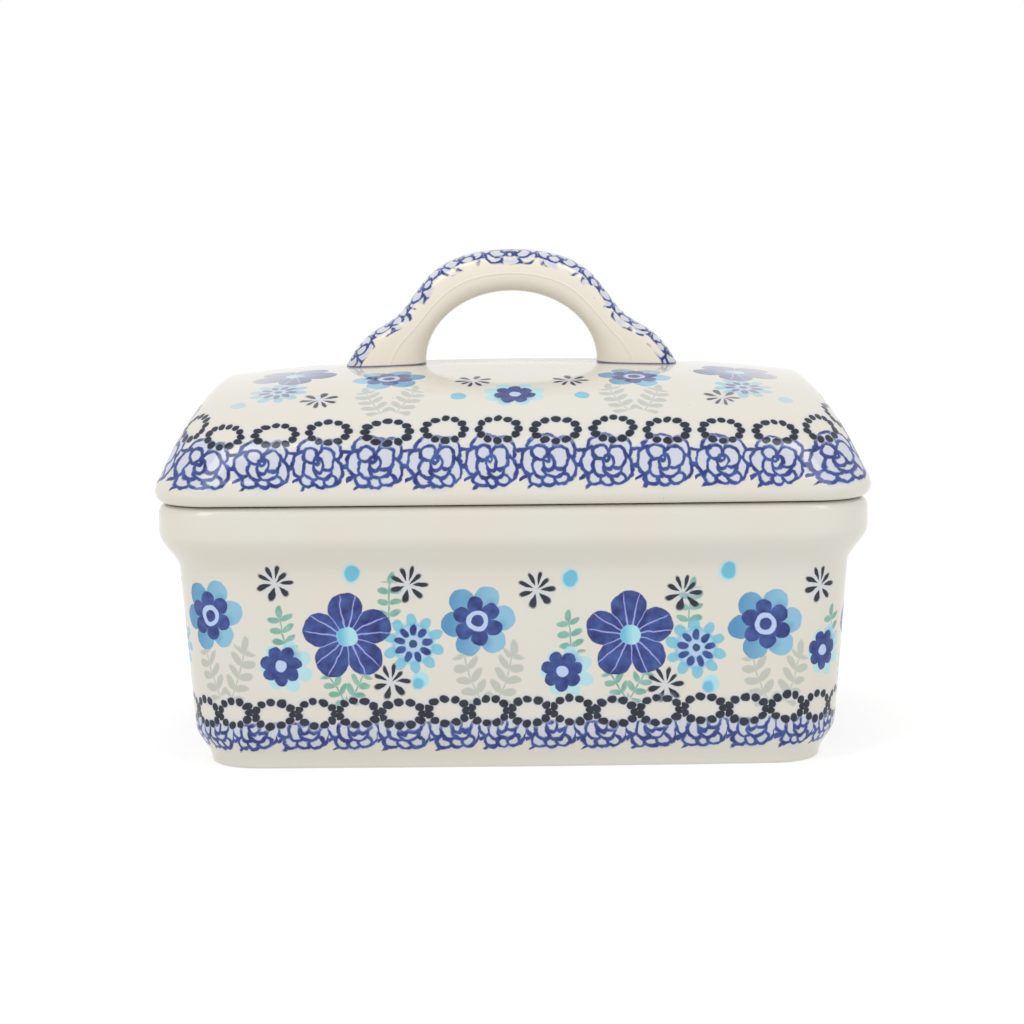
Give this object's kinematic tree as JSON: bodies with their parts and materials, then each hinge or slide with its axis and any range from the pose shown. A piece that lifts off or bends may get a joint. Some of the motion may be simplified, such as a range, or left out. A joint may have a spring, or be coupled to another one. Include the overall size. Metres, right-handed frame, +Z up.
{
  "type": "butter dish",
  "caption": "Deep rectangular glazed stoneware butter dish with a domed lift-off lid and an arched loop handle, folk floral decoration.",
  "frame": {"origin": "middle of the footprint, on the surface the foot stands on", "axes": "+Z up, +X along the length, -Y towards the front"},
  "size_m": [0.175, 0.125, 0.1253],
  "materials": {
    "dish_glaze": "gloss cream glaze with blue floral stamping",
    "lid_glaze": "gloss cream glaze with blue floral stamping",
    "handle_glaze": "gloss cream glaze with blue stamping on its outer face"
  },
  "bodies": {
    "dish_body": {"dish": "dish_glaze"},
    "lid_body": {"lid_shell": "lid_glaze", "lid_handle": "handle_glaze"}
  },
  "joints": [
    {"name": "lid_lift", "type": "slide", "parent": "dish_body", "child": "lid_body", "axis": [0, 0, 1], "range_m": [0, 0.05]}
  ]
}
